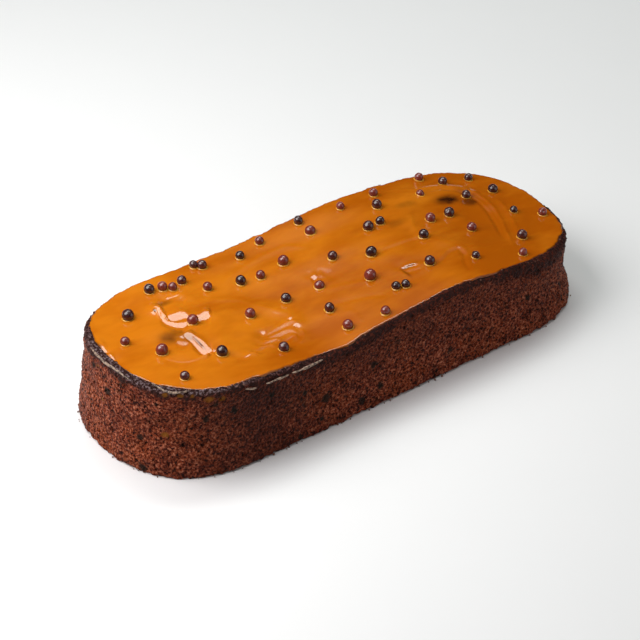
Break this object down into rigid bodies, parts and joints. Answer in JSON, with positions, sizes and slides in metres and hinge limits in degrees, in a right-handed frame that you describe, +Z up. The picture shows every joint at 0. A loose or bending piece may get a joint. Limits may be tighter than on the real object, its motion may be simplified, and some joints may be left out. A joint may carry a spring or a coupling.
{
  "type": "date cream cake",
  "caption": "Loaf-shaped dark date sponge with rounded ends, a glossy caramel topping and small chocolate pearls.",
  "frame": {"origin": "middle of the flat underside that the cake stands on", "axes": "+X along the loaf, from the higher end to the lower end; +Y to the far long side; +Z up"},
  "size_m": [0.2982, 0.1128, 0.0553],
  "materials": {
    "date_sponge": "dark reddish-brown porous cake crumb, matte, with a blackish slightly glossy crust round the top",
    "caramel": "glossy, slightly translucent orange-brown caramel with soft spatula marks"
  },
  "bodies": {
    "root": {"sponge": "date_sponge", "caramel_topping": "caramel"}
  },
  "joints": []
}
